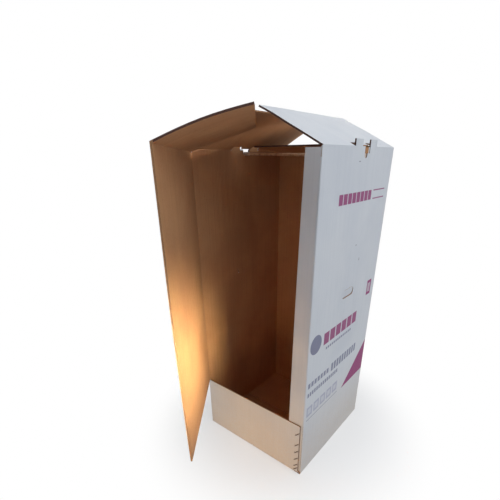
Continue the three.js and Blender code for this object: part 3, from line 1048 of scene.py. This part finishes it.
def makeTape():
    bpy.ops.mesh.primitive_grid_add(x_subdivisions=tape["teeth"] * 2, y_subdivisions=tape["rowsAlong"], size=1)
    piece = bpy.context.active_object
    piece.name = "bottom_tape_strip"
    length = carton["depth"] - 2 * tape["end"]
    for vertex in piece.data.vertices:
        across, along = vertex.co.x, vertex.co.y
        tooth = 0.0
        if abs(along) > 0.4999 and round((across + 0.5) * tape["teeth"] * 2) % 2:
            tooth = -math.copysign(tape["toothDepth"], along)  # torn on a toothed blade
        vertex.co = Vector((across * tape["width"], along * length + tooth, tape["film"] / 2))
    addWall(piece, tape["film"])
    applyModifiers(piece)
    piece.data.materials.append(tapeFilm)
    finishPiece(piece, ["bottom_tape"], "carton")


makeTape()
print("bottom tape made")


# The liners run unbroken over each moving crease: white outside, kraft inside.
crease = {
    "lap": 0.006,  # on each side of the fold
    "lift": 0.00012,
    "paper": 0.00022,
    "rowSpacing": 0.03,
}


def creaseSkin(name, profile, along, start, end, material):
    rowCount = max(2, round((end - start) / crease["rowSpacing"]))
    bpy.ops.mesh.primitive_grid_add(x_subdivisions=len(profile) - 1, y_subdivisions=rowCount, size=1)
    skin = bpy.context.active_object
    skin.name = name
    for vertex in skin.data.vertices:
        column = round((vertex.co.x + 0.5) * (len(profile) - 1))
        vertex.co = profile[column] + along * (start + (vertex.co.y + 0.5) * (end - start))
    addWall(skin, crease["paper"])
    applyModifiers(skin)
    toEdit(skin)
    bpy.ops.mesh.select_all(action="SELECT")
    bpy.ops.mesh.normals_make_consistent(inside=False)
    toObject()
    skin.data.materials.append(material)
    return skin


def creaseProfiles(hinge, wallDown, wallIn, flapOut, flapIn):
    # wallDown and flapOut lead away from the fold along each panel, wallIn and flapIn point inside
    lap, lift, thick = crease["lap"], crease["lift"], board["thickness"]
    wallTip = hinge + wallDown * thick + wallIn * (thick + lift)
    flapTip = hinge + flapOut * (thick + 0.0003) + flapIn * (thick + lift)
    valley = (wallTip + flapTip) / 2
    valley += (hinge - valley) * 0.3
    inner = [wallTip + wallDown * lap, wallTip + wallDown * lap / 2, wallTip]
    for step in range(1, 6):
        share = step / 6
        inner.append(wallTip * (1 - share) ** 2 + valley * 2 * share * (1 - share) + flapTip * share ** 2)
    inner += [flapTip, flapTip + flapOut * lap / 2, flapTip + flapOut * lap]
    outer = [hinge + wallDown * lap - wallIn * lift, hinge + wallDown * 0.002 - wallIn * lift]
    outer.append(hinge - (wallIn + flapIn).normalized() * lift)
    outer += [hinge + flapOut * 0.002 - flapIn * lift, hinge + flapOut * lap - flapIn * lift]
    return inner, outer, wallTip, flapTip


def finishCrease(skin):
    layOutSheet(skin, lambda spot: True)
    markWear(skin)
    smoothBoard(skin, 60)
    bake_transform(skin)


def makeCreases():
    angle = math.radians(door["angle"])
    doorOut = Vector((math.cos(angle), -math.sin(angle), 0))
    doorIn = Vector((math.sin(angle), math.cos(angle), 0))
    inner, outer, wallTip, flapTip = creaseProfiles(Vector((left, front, 0)), alongY, alongX, doorOut, doorIn)
    low, high = door["bottom"] + 0.0005, door["crease"] - 0.006
    finishCrease(creaseSkin("door_crease_inside", inner, alongZ, low, high, kraftLiner))
    finishCrease(creaseSkin("door_crease_outside", outer, alongZ, low, high, whiteLiner))
    for side, body, degrees in ((-1, "left_flap", sideFlap["leftAngle"]), (1, "right_flap", sideFlap["rightAngle"])):
        angle = math.radians(degrees)
        hinge = Vector((side * right, 0, carton["height"]))
        flapOut = Vector((-side * math.cos(angle), 0, math.sin(angle)))
        flapIn = Vector((-side * math.sin(angle), 0, -math.cos(angle)))
        inner, outer, wallTip, flapTip = creaseProfiles(hinge, -alongZ, -alongX * side, flapOut, flapIn)
        for part, (start, end) in enumerate(sideFlap["creaseSpans"]):
            tag = body + "_crease_" + ("front", "back")[part]
            finishCrease(creaseSkin(tag + "_inside", inner, alongY, start, end, kraftLiner))
            finishCrease(creaseSkin(tag + "_outside", outer, alongY, start, end, whiteLiner))


makeCreases()
print("crease liners made")


stage = {
    "floor": colour(246, 246, 247),
    "fadeStart": 0.3,  # metres from the middle of the floor, where its shading starts to turn plain white
    "fadeEnd": 0.72,
    "fadeLeast": 0.45,  # the share of plain white right under the carton
}


def seenAsBackdrop(tree):
    # What the camera, gloss and clear film see as plain white, while the object's light stays as it is
    path = tree.nodes.new("ShaderNodeLightPath")
    seen = calc(tree, "MAXIMUM", path.outputs["Is Camera Ray"], path.outputs["Is Glossy Ray"])
    return calc(tree, "MAXIMUM", seen, path.outputs["Is Transmission Ray"])


def mixShaders(tree, amount, first, second):
    mixer = tree.nodes.new("ShaderNodeMixShader")
    for socket, value in zip(mixer.inputs, (amount, first, second)):
        feed(tree, socket, value)
    return mixer.outputs[0]


def makeStage():
    bpy.ops.mesh.primitive_plane_add(size=30, location=(0, 0, -0.0002))
    floor = bpy.context.active_object
    floor.name = "studio_floor"
    material, tree, shader = newMaterial("studioFloor")
    place = objectPlace(tree)
    away = tree.nodes.new("ShaderNodeVectorMath")
    away.operation = "LENGTH"
    feed(tree, away.inputs[0], place)
    fade = spread(tree, away.outputs["Value"], stage["fadeStart"], stage["fadeEnd"], stage["fadeLeast"], 1.0)
    feed(tree, shader.inputs["Base Color"], stage["floor"])
    shader.inputs["Roughness"].default_value = 0.9
    glow = tree.nodes.new("ShaderNodeEmission")
    glow.inputs["Color"].default_value = (1, 1, 1, 1)
    hidden = calc(tree, "MULTIPLY", fade, seenAsBackdrop(tree))
    surface = mixShaders(tree, hidden, shader.outputs[0], glow.outputs[0])
    feed(tree, tree.nodes["Material Output"].inputs["Surface"], surface)
    floor.data.materials.append(material)


# Area lamps: size in metres, spread in degrees, power in watts
lamps = {
    "world": {"tint": (0.93, 0.96, 1.0), "power": 0.24},
    "key": {"place": (-1.5, -2.6, 2.6), "aim": (0, 0, 0.7), "size": 2.2, "spread": 180, "power": 12,
            "tint": (0.84, 0.94, 1.0)},
    "warmLow": {"place": (0.05, -1.2, 0.1), "aim": (0.05, -0.3, 0.02), "size": 0.4, "spread": 80, "power": 0.9,
                "tint": (1.0, 0.58, 0.2)},
    "coolSide": {"place": (2.6, -0.2, 2.2), "aim": (0.26, 0, 0.7), "size": 2.0, "spread": 180, "power": 29,
                 "tint": (0.88, 0.94, 1.0)},
    "doorBeam": {"place": (2.1, -0.95, 1.45), "aim": (0.0, -0.57, 0.6), "size": 0.25, "spread": 14, "power": 1.9,
                 "tint": (1.0, 0.9, 0.58)},
    "behind": {"place": (0.32, 0.75, 1.36), "aim": (-0.13, -0.02, 1.31), "size": 0.1, "spread": 13, "power": 0.07,
               "tint": (1.0, 0.86, 0.7)},
    "above": {"place": (0.6, 0.1, 3.4), "aim": (0.15, 0, 1.2), "size": 1.2, "spread": 120, "power": 9,
              "tint": (0.94, 0.97, 1.0)},
    "inside": {"place": (0.75, -1.9, 1.35), "aim": (-0.2, -0.1, 0.95), "size": 0.5, "spread": 40, "power": 0.1,
               "tint": (0.95, 0.97, 1.0)},
}


def addLamp(name):
    values = lamps[name]
    data = bpy.data.lights.new(name, "AREA")
    data.shape = "SQUARE"
    data.size = values["size"]
    data.spread = math.radians(values["spread"])
    data.energy = values["power"]
    data.color = values["tint"]
    lamp = bpy.data.objects.new(name, data)
    lamp.location = values["place"]
    lamp.rotation_euler = (Vector(values["aim"]) - Vector(values["place"])).to_track_quat("-Z", "Y").to_euler()
    lamp.visible_camera = False
    bpy.context.scene.collection.objects.link(lamp)


def lightStudio():
    bpy.context.scene.view_settings.view_transform = "Standard"
    world = bpy.data.worlds.new("studio")
    bpy.context.scene.world = world
    world.use_nodes = True
    tree = world.node_tree
    ambient = tree.nodes["Background"]
    ambient.inputs["Color"].default_value = (*lamps["world"]["tint"], 1)
    ambient.inputs["Strength"].default_value = lamps["world"]["power"]
    white = tree.nodes.new("ShaderNodeBackground")
    white.inputs["Color"].default_value = (1, 1, 1, 1)
    surface = mixShaders(tree, seenAsBackdrop(tree), ambient.outputs[0], white.outputs[0])
    feed(tree, tree.nodes["World Output"].inputs["Surface"], surface)
    for name in lamps:
        if name != "world":
            addLamp(name)


makeStage()
lightStudio()
print("stage and lamps set")
